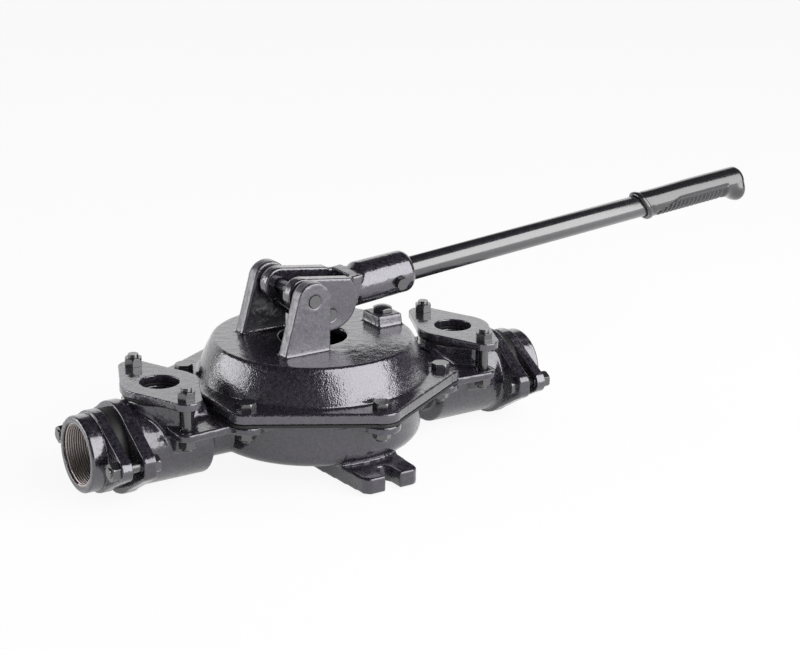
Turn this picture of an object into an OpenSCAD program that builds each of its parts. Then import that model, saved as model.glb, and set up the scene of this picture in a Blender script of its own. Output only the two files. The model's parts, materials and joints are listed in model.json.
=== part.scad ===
// Hand lever diaphragm pump of cast iron with a threaded port at each end
// All lengths are in millimetres, +Z is up, the floor is z = 0 and the grip points to +X
// Heights named "level" are counted from the common axis of the two valve chambers

/* [Body] */
// Height of the chamber axis over the floor
axis_h = 42; // [41:0.5:50]
// Outer radius of the bowl under the flange
bowl_r = 108.2; // [104:0.2:111]
// Depth of the bowl's underside below the chamber axis
bowl_drop = 26; // [22:0.5:30]
// Rounding of the bowl's lower edge
bowl_round = 14; // [8:0.5:18]
// Wall thickness of the bowl
bowl_wall = 8; // [6:0.5:10]
// Level of the top of the body flange and of the lug webs
flange_level = 25.1; // [24:0.1:27]
// Thickness of the body flange and of the lug webs
flange_t = 8; // [7:0.5:10]
// Distance of the cover bolts outside the bowl's wall
bolt_out = 19.2; // [18.4:0.2:22]
// Width of the body's rim outside the bowl, between the bolt lobes
rim_w = 7; // [5:0.5:9]
// Half width of a bolt lobe where it leaves the rim
lobe_half_w = 30; // [26:0.5:34]
// Rounding of the six flange corners about their bolts
corner_r = 18.5; // [17:0.5:20]
// How far the rounded corners stand past the flange's straight sides
corner_rise = 0.8; // [0.4:0.1:1.5]

/* [Feet] */
// How far a foot ends inside the flange's corner
foot_inset = 6.5; // [4:0.5:12]
// Width of a foot
foot_w = 61; // [56:0.5:64]
// Width of the foot under the middle of the bowl
foot_root_w = 79; // [72:0.5:84]
// Position of the feet's mid line along the lever's direction
foot_x = 6; // [0:0.5:8]
// Thickness of a foot
foot_t = 16; // [12:0.5:18]
// Width of the open slot in a foot
foot_slot_w = 16; // [14:0.5:19]
// Length of the open slot in a foot
foot_slot_l = 24; // [18:0.5:28]
// Rounding of the outer corners of a foot
foot_round = 9; // [6:0.5:11]

/* [Chambers] */
// Distance of the upright port's axis from the chamber's inner end
port_in = 37.4; // [37:0.2:40]
// Outer radius of a valve chamber
chamber_r = 40.75; // [40:0.25:41.5]
// Wall thickness of a valve chamber
chamber_wall = 8; // [6:0.5:10]
// Gap between the cover bolts' circle and a chamber's inner end
chamber_gap = 4.2; // [3:0.2:8]
// Length of a valve chamber
chamber_l = 88.4; // [86:0.2:92]
// Thickness of a chamber's end flange
end_flange_t = 13; // [11:0.5:14]
// Outer radius of the neck between bowl and chamber
neck_r = 28; // [26:0.5:31]
// Bore radius of the neck
neck_bore_r = 20; // [16:0.5:22]

/* [End flanges] */
// Radius of the round middle of a chamber's end flange
end_mid_r = 45; // [43:0.2:46]
// Radius of the round middle of the outer end flange
outer_mid_r = 39.8; // [39:0.2:41]
// Rounding of the outer end flange's ears
outer_ear_r = 11.5; // [10.5:0.25:12.5]
// Distance of an end flange bolt from the chamber axis
end_bolt_y = 56; // [54:0.5:58]
// Rounding of the ears of a chamber's end flange
end_ear_r = 15; // [13:0.5:16]
// Half length of a chamber's end flange across its cut ears
end_half_len = 69; // [67:0.5:71]
// Thickness of the valve plate between the two end flanges
valve_t = 10.5; // [8:0.5:12]
// Radius of the valve plate
valve_r = 39; // [38:0.25:39.5]
// Thickness of the outer end flange
outer_flange_t = 10.5; // [9:0.5:12]
// Length of the threaded hub past the outer end flange
hub_l = 15.5; // [14:0.5:18]
// Outer radius of the threaded hub
hub_r = 37; // [36:0.2:38.4]
// Bore radius of the threaded hub at its thread crests
hub_bore_r = 28.8; // [28.2:0.1:29.2]
// Chamfer at the mouth and rim of the hub
hub_chamfer = 1.6; // [1:0.1:2]

/* [Upright ports] */
// Level of the top of the upright port flange
port_top_level = 56.4; // [55:0.2:58]
// Thickness of the upright port flange
port_flange_t = 7.6; // [7:0.2:10]
// Thickness of the gasket under it
port_gasket_t = 2.6; // [1.5:0.1:3]
// Radius of the round middle of the upright port flange
port_mid_r = 37.8; // [37:0.2:39]
// Distance of a stud from the chamber axis
stud_y = 55.2; // [54.5:0.1:56]
// Rounding of the upright port flange's ears
port_ear_r = 15; // [13:0.5:16]
// Bore radius of the upright port
port_bore_r = 19; // [17:0.25:20]
// Radius of the round middle of the block under the flange
block_mid_r = 35.5; // [34:0.5:37]
// Distance of the block's narrow ends from the chamber axis
block_end_y = 38; // [36:0.5:39]
// Rounding of the block's narrow ends
block_end_r = 9; // [8:0.25:9.5]
// Rounding of a stud lug
lug_r = 13; // [11:0.5:14]

/* [Fasteners] */
// Shank radius of the studs and bolts
stud_r = 5; // [4:0.25:5.5]
// Distance across flats of the nuts and bolt heads
nut_af = 16; // [15:0.5:18]
// Height of a nut
nut_h = 8.4; // [7:0.2:9]
// Height of a bolt head
head_h = 6.5; // [5.5:0.25:7.5]
// Length of thread that shows past a nut
stud_end = 3.5; // [3:0.5:6]
// Length of thread that shows past an end flange's nut
end_bolt_end = 1.5; // [1:0.25:3]
// Radial clearance of a shank in its hole
hole_clear = 0.3; // [0.2:0.05:0.6]
// Gap left between a fastener and the face it sits on
seat_gap = 0.02; // [0.01:0.01:0.05]

/* [Cover] */
// Thickness of the rubber diaphragm
diaphragm_t = 2.9; // [2.5:0.1:3.5]
// Thickness of the cover flange
cover_flange_t = 10.6; // [9:0.2:12]
// Level of the flat top of the dome
dome_level = 74.5; // [73:0.1:77]
// Distance of the dome's side inside the bolt circle at the flange
dome_in = 13; // [11:0.2:14]
// Inward lean of the dome's side from the flange to its flat top
dome_lean = 15; // [13:0.5:18]
// Outward swell of the dome's side
dome_bulge = 1.25; // [0.75:0.25:2]
// Rounding of the dome's top edge
dome_round = 4; // [3:0.25:6]
// Wall thickness of the dome
dome_wall = 8; // [6:0.5:9]
// Radius of the round opening in the dome's top
dome_hole_r = 34; // [30:0.5:34.5]

/* [Ears] */
// Distance of an ear's inner face from the mid plane
ear_in_y = 35; // [35:0.25:36]
// Thickness of an ear
ear_t = 14.5; // [13:0.5:16]
// Position of an ear's rear foot along the lever's direction
ear_rear_x = -60; // [-62:0.5:-56]
// Position of an ear's front edge along the lever's direction
ear_front_x = -9.5; // [-10:0.25:-9]
// Rounding of an ear's top about the pivot
ear_top_r = 18.5; // [17.5:0.25:19.5]
// Position of the pivot along the lever's direction
pivot_x = -27; // [-28:0.25:-26]
// Level of the pivot
pivot_level = 126.3; // [125:0.1:128]
// Radius of the pivot pin
pivot_r = 6.2; // [5:0.1:7]
// Running clearance of the pivot pin, on the radius
pin_clear = 0.08; // [0.05:0.01:0.1]

/* [Stop] */
// Distance of the lever stop's middle inside the dome's top edge
stop_in = 17.5; // [15.5:0.5:19.5]
// Length of the stop's block along the lever
stop_block_l = 28; // [24:0.5:30]
// Width of the stop's block across the lever
stop_block_w = 33; // [28:0.5:36]
// Height of the stop's block
stop_block_h = 11.4; // [9.4:0.2:12]
// Draft of the stop's block at its top edge
stop_draft = 1.5; // [1:0.25:2.5]
// Distance across flats of the stop screw's head
stop_af = 19; // [17:0.5:21]
// Height of the stop screw's head
stop_head_h = 7; // [5.5:0.25:7.5]
// Radius of the rounded top of the stop screw's head
stop_crown_r = 20; // [15:0.25:24]

/* [Lever] */
// Tilt of the lever over the level, in degrees
lever_tilt = 5; // [4:0.1:6]
// Distance of the lever's axis below the pivot
lever_drop = 12.9; // [12.5:0.1:13.5]
// Distance of the link pin along the lever from the pivot
link_pin_u = 28.8; // [28:0.1:29.5]
// Distance of the link pin below the pivot
link_pin_w = 26.9; // [26:0.1:27.5]
// Radius of the link pin
link_pin_r = 6; // [5:0.1:6.5]
// Distance of a cheek's outer face from the mid plane
cheek_out_y = 28.5; // [27:0.25:29.5]
// Thickness of a cheek
cheek_t = 13; // [11:0.5:14]
// Rounding of a cheek about the pivot
pivot_boss_r = 17; // [16:0.25:17.5]
// Distance of the cheeks' round part along the lever from the pivot
cheek_disc_u = 30; // [29:0.25:31]
// Radius of the cheeks' round part
cheek_disc_r = 30.4; // [29.5:0.1:31]
// Fall of the cheeks' top edge towards the socket, in degrees
cheek_slope = 12.4; // [11:0.2:14]
// Distance of the fork slot's closed end from the pivot
fork_slot_u = 60.5; // [58:0.5:61]
// Length of the shoulder between the cheeks and the socket
shoulder_l = 13; // [10:0.5:15]
// Width of the shoulder as a share of the socket's width
shoulder_share = 0.98; // [0.9:0.01:1]
// Height of the shoulder above the lever's axis
shoulder_up = 16; // [14:0.25:16.5]
// Depth of the shoulder below the lever's axis
shoulder_down = 14; // [12:0.25:15]
// Radius of the socket where it leaves the cheeks
socket_r = 21.8; // [20.8:0.1:22]
// Radius of the socket at its mouth
socket_mouth_r = 21.2; // [20.2:0.1:21.6]
// Rounding of the socket's mouth
socket_round = 8; // [5:0.25:9]
// Distance of the socket's mouth from the pivot
socket_u = 137; // [134:0.5:142]
// Depth of the tube in the socket
socket_depth = 50; // [44:0.5:56]

/* [Handle] */
// Outer radius of the lever tube
tube_r = 12.2; // [11.6:0.1:12.4]
// Wall thickness of the lever tube
tube_wall = 2.6; // [2:0.1:3.2]
// Radial clearance of the tube in its socket and of the grip on the tube
tube_clear = 0.1; // [0.05:0.01:0.15]
// Distance of the grip's inner end from the pivot
grip_u = 439.5; // [434:0.5:446]
// Length of the grip
grip_l = 142.5; // [136:0.5:150]
// Radius of the grip's grasp next to its collar
grip_r = 14.8; // [14:0.1:15.5]
// Growth of the grasp's radius towards the flared end
grip_swell = 0.8; // [0.4:0.1:1.4]
// Radius of the grip's collar
grip_collar_r = 16.4; // [16:0.1:17.4]
// Length of the grip's collar
grip_collar_l = 6; // [5:0.5:8]
// Rounding of the grip's closed end
grip_round = 7; // [4:0.25:9]
// Radius of the lip under the grip's closed end
grip_lip_r = 16.6; // [16:0.1:17.5]
// Distance of the lip's axis below the grip's axis
grip_lip_drop = 3; // [2:0.1:4]
// Length of the lip
grip_lip_l = 17; // [12:0.5:20]
// Thickness of the grip's closed end
grip_end_t = 6; // [4:0.5:8]
// Distance of the clamp screw from the socket's mouth
screw_inset = 22; // [18:0.5:26]
// Distance across flats of the clamp screw's head
screw_af = 12; // [11:0.5:14]
// Height of the clamp screw's head
screw_head_h = 5; // [4:0.25:6]
// Turn of the clamp screw about the lever's axis, in degrees
screw_turn = 8; // [4:1:30]

/* [Link] */
// Outer radius of the link's eye
link_eye_r = 12; // [10:0.25:13]
// Width of the link's eye between the cheeks
link_eye_w = 19; // [16:0.5:20]
// Radius of the link's rod
link_rod_r = 7; // [6:0.25:8]
// Level of the rod's lower end
link_low_level = 46; // [44:0.5:50]
// Radius of the plate on the diaphragm
plate_r = 62; // [55:0.5:70]
// Thickness of the plate on the diaphragm
plate_t = 5; // [4:0.25:6]
// Radius of the plate's middle boss
plate_boss_r = 14; // [12:0.5:18]
// Height of the plate's middle boss
plate_boss_h = 8; // [5:0.5:9]

/* [Hidden] */
$fn = 64;
// Overrun of every cut past the face it opens
cut_over = 1;
// Depth by which a joined piece reaches into the piece it is cast with
join_in = 2;
// Share of a circle's radius to which the straight sides of an ear run
side_share = 0.985;
// Share of the bolt head's width to which its corners are turned
turned_share = 0.92;
corner_count = 6;
corner_step = 360 / corner_count;
corner_turn = corner_step / 2;
hex_sides = 6;
bolt_circle_r = bowl_r + bolt_out;
rim_r = bowl_r + rim_w;
foot_reach = bolt_circle_r + corner_r - foot_inset;
foot_end_y = bowl_r + join_in;
chamber_in_x = bolt_circle_r + chamber_gap;
chamber_out_x = chamber_in_x + chamber_l;
port_x = chamber_in_x + port_in;
dome_base_r = bolt_circle_r - dome_in;
dome_top_r = dome_base_r - dome_lean;
stop_x = dome_top_r - stop_in;
dome_low = flange_level + diaphragm_t;
cover_top = dome_low + cover_flange_t;
dome_chord_r = dome_base_r - dome_top_r;
dome_chord_z = dome_level - cover_top;
dome_chord = sqrt(dome_chord_r * dome_chord_r + dome_chord_z * dome_chord_z);
dome_arc_r = dome_chord * dome_chord / (8 * dome_bulge) + dome_bulge / 2;
dome_arc_x = (dome_base_r + dome_top_r) / 2 - (dome_arc_r - dome_bulge) * dome_chord_z / dome_chord;
dome_arc_z = (cover_top + dome_level) / 2 - (dome_arc_r - dome_bulge) * dome_chord_r / dome_chord;
port_flange_level = port_top_level - port_flange_t;
block_level = port_flange_level - port_gasket_t;
valve_out_x = chamber_out_x + valve_t;
outer_out_x = valve_out_x + outer_flange_t;
hub_x = outer_out_x + hub_l;
end_flange_in_x = chamber_out_x - end_flange_t;
shank_hole_r = stud_r + hole_clear;
ear_out_y = ear_in_y + ear_t;
cheek_in_y = cheek_out_y - cheek_t;
nut_r = nut_af / 2 / cos(corner_turn);
stop_r = stop_af / 2 / cos(corner_turn);
screw_r = screw_af / 2 / cos(corner_turn);
stop_level = dome_level + stop_block_h;
link_pin_x = pivot_x + link_pin_u * cos(lever_tilt) + link_pin_w * sin(lever_tilt);
link_pin_level = pivot_level + link_pin_u * sin(lever_tilt) - link_pin_w * cos(lever_tilt);
lug_under = flange_level - flange_t;
iron = [0.12, 0.12, 0.13];
steel = [0.2, 0.2, 0.21];
rubber = [0.07, 0.07, 0.07];

// Outline of an oval flange: a round middle with an ear on each side along Y
module oval(mid_r, end_r, end_y) {
    lean = asin((mid_r - end_r) / end_y);
    mid_s = mid_r * side_share;
    end_s = end_r * side_share;
    circle(r = mid_r);
    for (s = [-1, 1]) {
        translate([0, s * end_y]) circle(r = end_r);
    }
    polygon([
        [mid_s * cos(lean), mid_s * sin(lean)],
        [end_s * cos(lean), end_y + end_s * sin(lean)],
        [-end_s * cos(lean), end_y + end_s * sin(lean)],
        [-mid_s * cos(lean), mid_s * sin(lean)],
        [-mid_s * cos(lean), -mid_s * sin(lean)],
        [-end_s * cos(lean), -end_y - end_s * sin(lean)],
        [end_s * cos(lean), -end_y - end_s * sin(lean)],
        [mid_s * cos(lean), -mid_s * sin(lean)]
    ]);
}

// Outline of a chamber's end flange: the oval with its ears cut flat
module end_outline() {
    intersection() {
        oval(end_mid_r, end_ear_r, end_bolt_y);
        square([2 * end_mid_r + cut_over, 2 * end_half_len], center = true);
    }
}

// Six-cornered outline of the body flange, diaphragm and cover flange
module hex_outline() {
    side_in = corner_r - corner_rise;
    half_side = bolt_circle_r * sin(corner_turn);
    flat_r = bolt_circle_r * cos(corner_turn);
    for (k = [0:corner_count - 1]) {
        rotate(corner_turn + k * corner_step) translate([bolt_circle_r, 0]) circle(r = corner_r);
    }
    for (k = [0:2]) {
        rotate(k * corner_step) square([2 * (flat_r + side_in), 2 * half_side], center = true);
    }
}

// Outline of the body flange: a round rim with a lobe for each bolt
module lobed_outline() {
    lobe_in = sqrt(rim_r * rim_r - lobe_half_w * lobe_half_w);
    circle(r = rim_r);
    for (k = [0:corner_count - 1]) {
        rotate(corner_turn + k * corner_step) {
            translate([bolt_circle_r, 0]) circle(r = corner_r);
            polygon([
                [0, 0],
                [lobe_in * side_share, -lobe_half_w * side_share],
                [bolt_circle_r, -corner_r * side_share],
                [bolt_circle_r, corner_r * side_share],
                [lobe_in * side_share, lobe_half_w * side_share]
            ]);
        }
    }
}

// Places its children on the six bolt axes
module six_bolts() {
    for (k = [0:corner_count - 1]) {
        rotate([0, 0, corner_turn + k * corner_step]) translate([bolt_circle_r, 0, 0]) children();
    }
}

// Hexagon nut or head with its base on z = 0 and its corners turned at the free end
module hexagon(r, h) {
    top_r = r * turned_share;
    intersection() {
        cylinder(r = r, h = h, $fn = hex_sides);
        cylinder(r1 = r + (r - top_r), r2 = top_r, h = h);
    }
}

// Turns its children from the left side, where they are drawn, to the right side
module right() {
    rotate([0, 0, 180]) children();
}

// One flat web that carries the two stud lugs of a chamber, drawn on the -X side
module lug_web() {
    web_y = bolt_circle_r * sin(corner_turn);
    web_x = bolt_circle_r * cos(corner_turn);
    polygon([
        [-web_x, -web_y],
        [-port_x, -stud_y - lug_r * side_share],
        [-port_x - lug_r * side_share, -stud_y],
        [-port_x - lug_r * side_share, stud_y],
        [-port_x, stud_y + lug_r * side_share],
        [-web_x, web_y]
    ]);
    for (s = [-1, 1]) {
        translate([-port_x, s * stud_y]) circle(r = lug_r);
    }
}

// Stretch of the foot's outline between two distances from the middle of the bowl
module foot_part(from_y, to_y) {
    intersection() {
        foot_outline();
        translate([-foot_root_w / 2, -to_y]) square([foot_root_w, to_y - from_y]);
    }
}

// Outline of a foot seen from above, with its open slot and round corners
module foot_outline() {
    slot_run = foot_slot_l - foot_slot_w / 2;
    difference() {
        union() {
            polygon([
                [-foot_w / 2, -foot_reach + foot_round],
                [foot_w / 2, -foot_reach + foot_round],
                [foot_root_w / 2, 0],
                [-foot_root_w / 2, 0]
            ]);
            translate([-foot_w / 2 + foot_round, -foot_reach]) square([foot_w - 2 * foot_round, foot_reach]);
            for (s = [-1, 1]) {
                translate([s * (foot_w / 2 - foot_round), -foot_reach + foot_round]) circle(r = foot_round);
            }
        }
        translate([-foot_slot_w / 2, -foot_reach - cut_over]) square([foot_slot_w, slot_run + cut_over]);
        translate([0, -foot_reach + slot_run]) circle(d = foot_slot_w);
    }
}

module bowl_solid() {
    translate([0, 0, axis_h]) rotate_extrude() {
        translate([0, -bowl_drop]) square([bowl_r - bowl_round, bowl_drop + flange_level]);
        translate([0, -bowl_drop + bowl_round]) square([bowl_r, bowl_drop - bowl_round + flange_level]);
        intersection() {
            translate([bowl_r - bowl_round, -bowl_drop + bowl_round]) circle(r = bowl_round);
            translate([0, -bowl_drop]) square([bowl_r, bowl_round + join_in]);
        }
    }
}

// Leg that carries the bowl between its two feet
module leg() {
    half_l = bowl_r - bowl_round;
    translate([foot_x - foot_w / 2, -half_l, 0]) cube([foot_w, 2 * half_l, axis_h - bowl_drop + join_in]);
}

module bowl_hollow() {
    translate([0, 0, axis_h - bowl_drop + bowl_wall]) {
        cylinder(r = bowl_r - bowl_wall, h = bowl_drop - bowl_wall + flange_level + cut_over);
    }
}

// A chamber with its neck, end flange, port block and lug web, drawn on the -X side
module chamber_solid() {
    translate([0, 0, axis_h]) rotate([0, -90, 0]) {
        cylinder(r = neck_r, h = chamber_in_x + join_in);
        translate([0, 0, chamber_in_x]) cylinder(r = chamber_r, h = chamber_out_x - chamber_in_x);
        translate([0, 0, end_flange_in_x]) linear_extrude(end_flange_t) end_outline();
    }
    translate([-port_x, 0, axis_h]) linear_extrude(block_level) oval(block_mid_r, block_end_r, block_end_y);
    translate([0, 0, axis_h + lug_under]) linear_extrude(flange_t) lug_web();
}

module chamber_hollow() {
    bore_r = chamber_r - chamber_wall;
    bore_x = chamber_in_x + chamber_wall;
    translate([0, 0, axis_h]) rotate([0, -90, 0]) {
        translate([0, 0, bowl_r - bowl_wall - join_in]) cylinder(r = neck_bore_r, h = bore_x - bowl_r + bowl_wall + join_in + join_in);
        translate([0, 0, bore_x]) cylinder(r = bore_r, h = chamber_out_x - bore_x + cut_over);
        for (s = [-1, 1]) {
            translate([0, s * end_bolt_y, end_flange_in_x - cut_over]) cylinder(r = shank_hole_r, h = end_flange_t + 2 * cut_over);
        }
    }
    translate([-port_x, 0, axis_h]) cylinder(r = port_bore_r, h = block_level + cut_over);
    for (s = [-1, 1]) {
        translate([-port_x, s * stud_y, axis_h + lug_under - cut_over]) cylinder(r = shank_hole_r, h = flange_t + 2 * cut_over);
    }
}

module pump_body() {
    color(iron) difference() {
        union() {
            bowl_solid();
            leg();
            translate([0, 0, axis_h + lug_under]) linear_extrude(flange_t) lobed_outline();
            for (s = [0, 1]) {
                rotate([0, 0, 180 * s]) chamber_solid();
            }
            for (s = [0, 1]) {
                translate([foot_x, 0, 0]) mirror([0, s, 0]) linear_extrude(foot_t) foot_part(0, foot_end_y);
            }
        }
        bowl_hollow();
        translate([0, 0, axis_h + flange_level]) linear_extrude(neck_r) hex_outline();
        for (s = [0, 1]) {
            rotate([0, 0, 180 * s]) chamber_hollow();
        }
        translate([0, 0, axis_h + lug_under - cut_over]) six_bolts() cylinder(r = shank_hole_r, h = flange_t + 2 * cut_over);
    }
}

// Slotted ends of the foot, front and back, seated against the foot under the bowl
module foot_ends() {
    color(iron) for (s = [0, 1]) {
        translate([foot_x, 0, 0]) mirror([0, s, 0]) linear_extrude(foot_t) foot_part(foot_end_y, foot_reach + cut_over);
    }
}

module diaphragm() {
    color(rubber) translate([0, 0, axis_h + flange_level]) difference() {
        linear_extrude(diaphragm_t) hex_outline();
        translate([0, 0, -cut_over]) six_bolts() cylinder(r = shank_hole_r, h = diaphragm_t + 2 * cut_over);
    }
}

module diaphragm_plate() {
    color(steel) translate([0, 0, axis_h + dome_low]) {
        cylinder(r = plate_r, h = plate_t);
        cylinder(r = plate_boss_r, h = plate_t + plate_boss_h);
    }
}

// Section of the dome, cut at two heights and by the arc of its side
module dome_section(low, high, arc_r) {
    intersection() {
        translate([0, low]) square([dome_base_r + join_in, high - low]);
        translate([dome_arc_x, dome_arc_z]) circle(r = arc_r);
    }
}

// Section of the dome's outside, with its round top edge
module dome_outside() {
    round_in = dome_round * side_share;
    round_z = dome_level - round_in;
    out = dome_arc_r - round_in;
    round_x = dome_arc_x + sqrt(out * out - (round_z - dome_arc_z) * (round_z - dome_arc_z));
    side_z = round_z + round_in * (round_z - dome_arc_z) / out;
    difference() {
        dome_section(dome_low, dome_level, dome_arc_r);
        difference() {
            translate([round_x, side_z]) square([2 * dome_round, 2 * dome_round]);
            translate([round_x, round_z]) circle(r = dome_round);
        }
    }
}

// Outline of one ear, seen from the side: X along, level upwards
module ear_outline() {
    run = pivot_x - ear_rear_x;
    rise = pivot_level - dome_level;
    lean = atan2(rise, run) + asin(ear_top_r / sqrt(run * run + rise * rise));
    s = ear_top_r * side_share;
    translate([pivot_x, pivot_level]) circle(r = ear_top_r);
    polygon([
        [ear_rear_x, dome_level - join_in],
        [ear_rear_x, dome_level],
        [pivot_x - s * sin(lean), pivot_level + s * cos(lean)],
        [pivot_x, pivot_level],
        [ear_front_x, pivot_level],
        [ear_front_x, dome_level - join_in]
    ]);
}

module cover() {
    color(iron) difference() {
        union() {
            translate([0, 0, axis_h + dome_low]) linear_extrude(cover_flange_t) hex_outline();
            translate([0, 0, axis_h]) rotate_extrude() dome_outside();
            for (s = [-1, 1]) {
                translate([0, s * (ear_in_y + ear_t / 2) + ear_t / 2, axis_h]) rotate([90, 0, 0]) linear_extrude(ear_t) ear_outline();
            }
            translate([stop_x, 0, axis_h + dome_level]) stop_block();
        }
        translate([0, 0, axis_h]) rotate_extrude() dome_section(dome_low - cut_over, dome_level - dome_wall, dome_arc_r - dome_wall);
        translate([0, 0, axis_h + dome_low]) cylinder(r = dome_hole_r, h = dome_level);
        translate([0, 0, axis_h + dome_low - cut_over]) six_bolts() cylinder(r = shank_hole_r, h = cover_flange_t + 2 * cut_over);
        translate([pivot_x, 0, axis_h + pivot_level]) rotate([90, 0, 0]) {
            cylinder(r = pivot_r + seat_gap, h = 2 * (ear_out_y + cut_over), center = true);
        }
        translate([stop_x, 0, axis_h + dome_level - dome_wall - cut_over]) {
            cylinder(r = stud_r + seat_gap, h = dome_wall + stop_block_h + 2 * cut_over);
        }
    }
}

// Block under the stop screw, drafted on its two sides across the lever
module stop_block() {
    low_w = stop_block_w / 2;
    top_w = stop_block_w / 2 - stop_draft;
    translate([-stop_block_l / 2, 0, 0]) rotate([90, 0, 90]) linear_extrude(stop_block_l) polygon([
        [-low_w, -dome_wall / 2],
        [low_w, -dome_wall / 2],
        [low_w, 0],
        [top_w, stop_block_h],
        [-top_w, stop_block_h],
        [-low_w, 0]
    ]);
}

module stop_screw() {
    color(steel) translate([stop_x, 0, axis_h + stop_level + seat_gap]) {
        intersection() {
            hexagon(stop_r, stop_head_h + join_in);
            translate([0, 0, stop_head_h - stop_crown_r]) sphere(r = stop_crown_r);
        }
        translate([0, 0, -dome_wall]) cylinder(r = stud_r, h = dome_wall + join_in);
    }
}

module cover_bolts() {
    color(steel) six_bolts() {
        translate([0, 0, axis_h + cover_top + seat_gap]) hexagon(nut_r, head_h);
        translate([0, 0, axis_h + lug_under - nut_h - stud_end]) {
            cylinder(r = stud_r, h = cover_top - lug_under + nut_h + stud_end + join_in);
        }
    }
}

module cover_nuts() {
    color(steel) six_bolts() translate([0, 0, axis_h + lug_under - seat_gap]) rotate([180, 0, 0]) difference() {
        hexagon(nut_r, nut_h);
        translate([0, 0, -cut_over]) cylinder(r = stud_r + seat_gap, h = nut_h + 2 * cut_over);
    }
}

// The pieces of one chamber, drawn on the -X side
module port_flange() {
    color(iron) translate([-port_x, 0, axis_h + port_flange_level]) difference() {
        linear_extrude(port_flange_t) oval(port_mid_r, port_ear_r, stud_y);
        translate([0, 0, -cut_over]) cylinder(r = port_bore_r, h = port_flange_t + 2 * cut_over);
        for (s = [-1, 1]) {
            translate([0, s * stud_y, -cut_over]) cylinder(r = shank_hole_r, h = port_flange_t + 2 * cut_over);
        }
    }
}

module port_gasket() {
    color(rubber) translate([-port_x, 0, axis_h + block_level]) linear_extrude(port_gasket_t) difference() {
        oval(block_mid_r, block_end_r, block_end_y);
        circle(r = port_bore_r);
    }
}

module studs() {
    low = lug_under - nut_h - stud_end;
    high = port_top_level + nut_h + stud_end;
    color(steel) for (s = [-1, 1]) {
        translate([-port_x, s * stud_y, axis_h + low]) cylinder(r = stud_r, h = high - low);
    }
}

module stud_nut() {
    difference() {
        hexagon(nut_r, nut_h);
        translate([0, 0, -cut_over]) cylinder(r = stud_r + seat_gap, h = nut_h + 2 * cut_over);
    }
}

module stud_nuts() {
    color(steel) for (s = [-1, 1]) {
        translate([-port_x, s * stud_y, axis_h + port_top_level + seat_gap]) stud_nut();
        translate([-port_x, s * stud_y, axis_h + lug_under - seat_gap]) rotate([180, 0, 0]) stud_nut();
    }
}

module end_flange() {
    color(iron) translate([0, 0, axis_h]) rotate([0, -90, 0]) difference() {
        union() {
            translate([0, 0, valve_out_x]) linear_extrude(outer_flange_t) oval(outer_mid_r, outer_ear_r, end_bolt_y);
            translate([0, 0, valve_out_x]) cylinder(r = hub_r, h = hub_x - valve_out_x - hub_chamfer);
            translate([0, 0, hub_x - hub_chamfer]) cylinder(r1 = hub_r, r2 = hub_r - hub_chamfer, h = hub_chamfer);
        }
        translate([0, 0, valve_out_x - cut_over]) cylinder(r = hub_bore_r, h = hub_x - valve_out_x + 2 * cut_over);
        translate([0, 0, hub_x - hub_chamfer]) cylinder(r1 = hub_bore_r, r2 = hub_bore_r + hub_chamfer, h = hub_chamfer);
        for (s = [-1, 1]) {
            translate([0, s * end_bolt_y, valve_out_x - cut_over]) cylinder(r = shank_hole_r, h = outer_flange_t + 2 * cut_over);
        }
    }
}

module valve_plate() {
    color(rubber) translate([0, 0, axis_h]) rotate([0, -90, 0]) {
        translate([0, 0, chamber_out_x]) cylinder(r = valve_r, h = valve_t);
    }
}

module end_bolts() {
    color(steel) translate([0, 0, axis_h]) rotate([0, -90, 0]) for (s = [-1, 1]) {
        translate([0, s * end_bolt_y, end_flange_in_x - seat_gap]) rotate([180, 0, 0]) hexagon(nut_r, head_h);
        translate([0, s * end_bolt_y, end_flange_in_x - join_in]) {
            cylinder(r = stud_r, h = outer_out_x - end_flange_in_x + join_in + nut_h + end_bolt_end);
        }
    }
}

module end_nuts() {
    color(steel) translate([0, 0, axis_h]) rotate([0, -90, 0]) for (s = [-1, 1]) {
        translate([0, s * end_bolt_y, outer_out_x + seat_gap]) stud_nut();
    }
}

module left_port_flange() { port_flange(); }
module right_port_flange() { right() port_flange(); }
module left_port_gasket() { port_gasket(); }
module right_port_gasket() { right() port_gasket(); }
module left_studs() { studs(); }
module right_studs() { right() studs(); }
module left_stud_nuts() { stud_nuts(); }
module right_stud_nuts() { right() stud_nuts(); }
module left_end_flange() { end_flange(); }
module right_end_flange() { right() end_flange(); }
module left_valve_plate() { valve_plate(); }
module right_valve_plate() { right() valve_plate(); }
module left_end_bolts() { end_bolts(); }
module right_end_bolts() { right() end_bolts(); }
module left_end_nuts() { end_nuts(); }
module right_end_nuts() { right() end_nuts(); }

module pivot_pin() {
    color(steel) translate([pivot_x, 0, axis_h + pivot_level]) rotate([90, 0, 0]) {
        cylinder(r = pivot_r, h = 2 * (ear_out_y + cut_over / 2), center = true);
    }
}

// Puts its children into the lever's own frame: pivot at the origin, X along the lever
module on_lever() {
    translate([pivot_x, 0, axis_h + pivot_level]) rotate([0, -lever_tilt, 0]) children();
}

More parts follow.
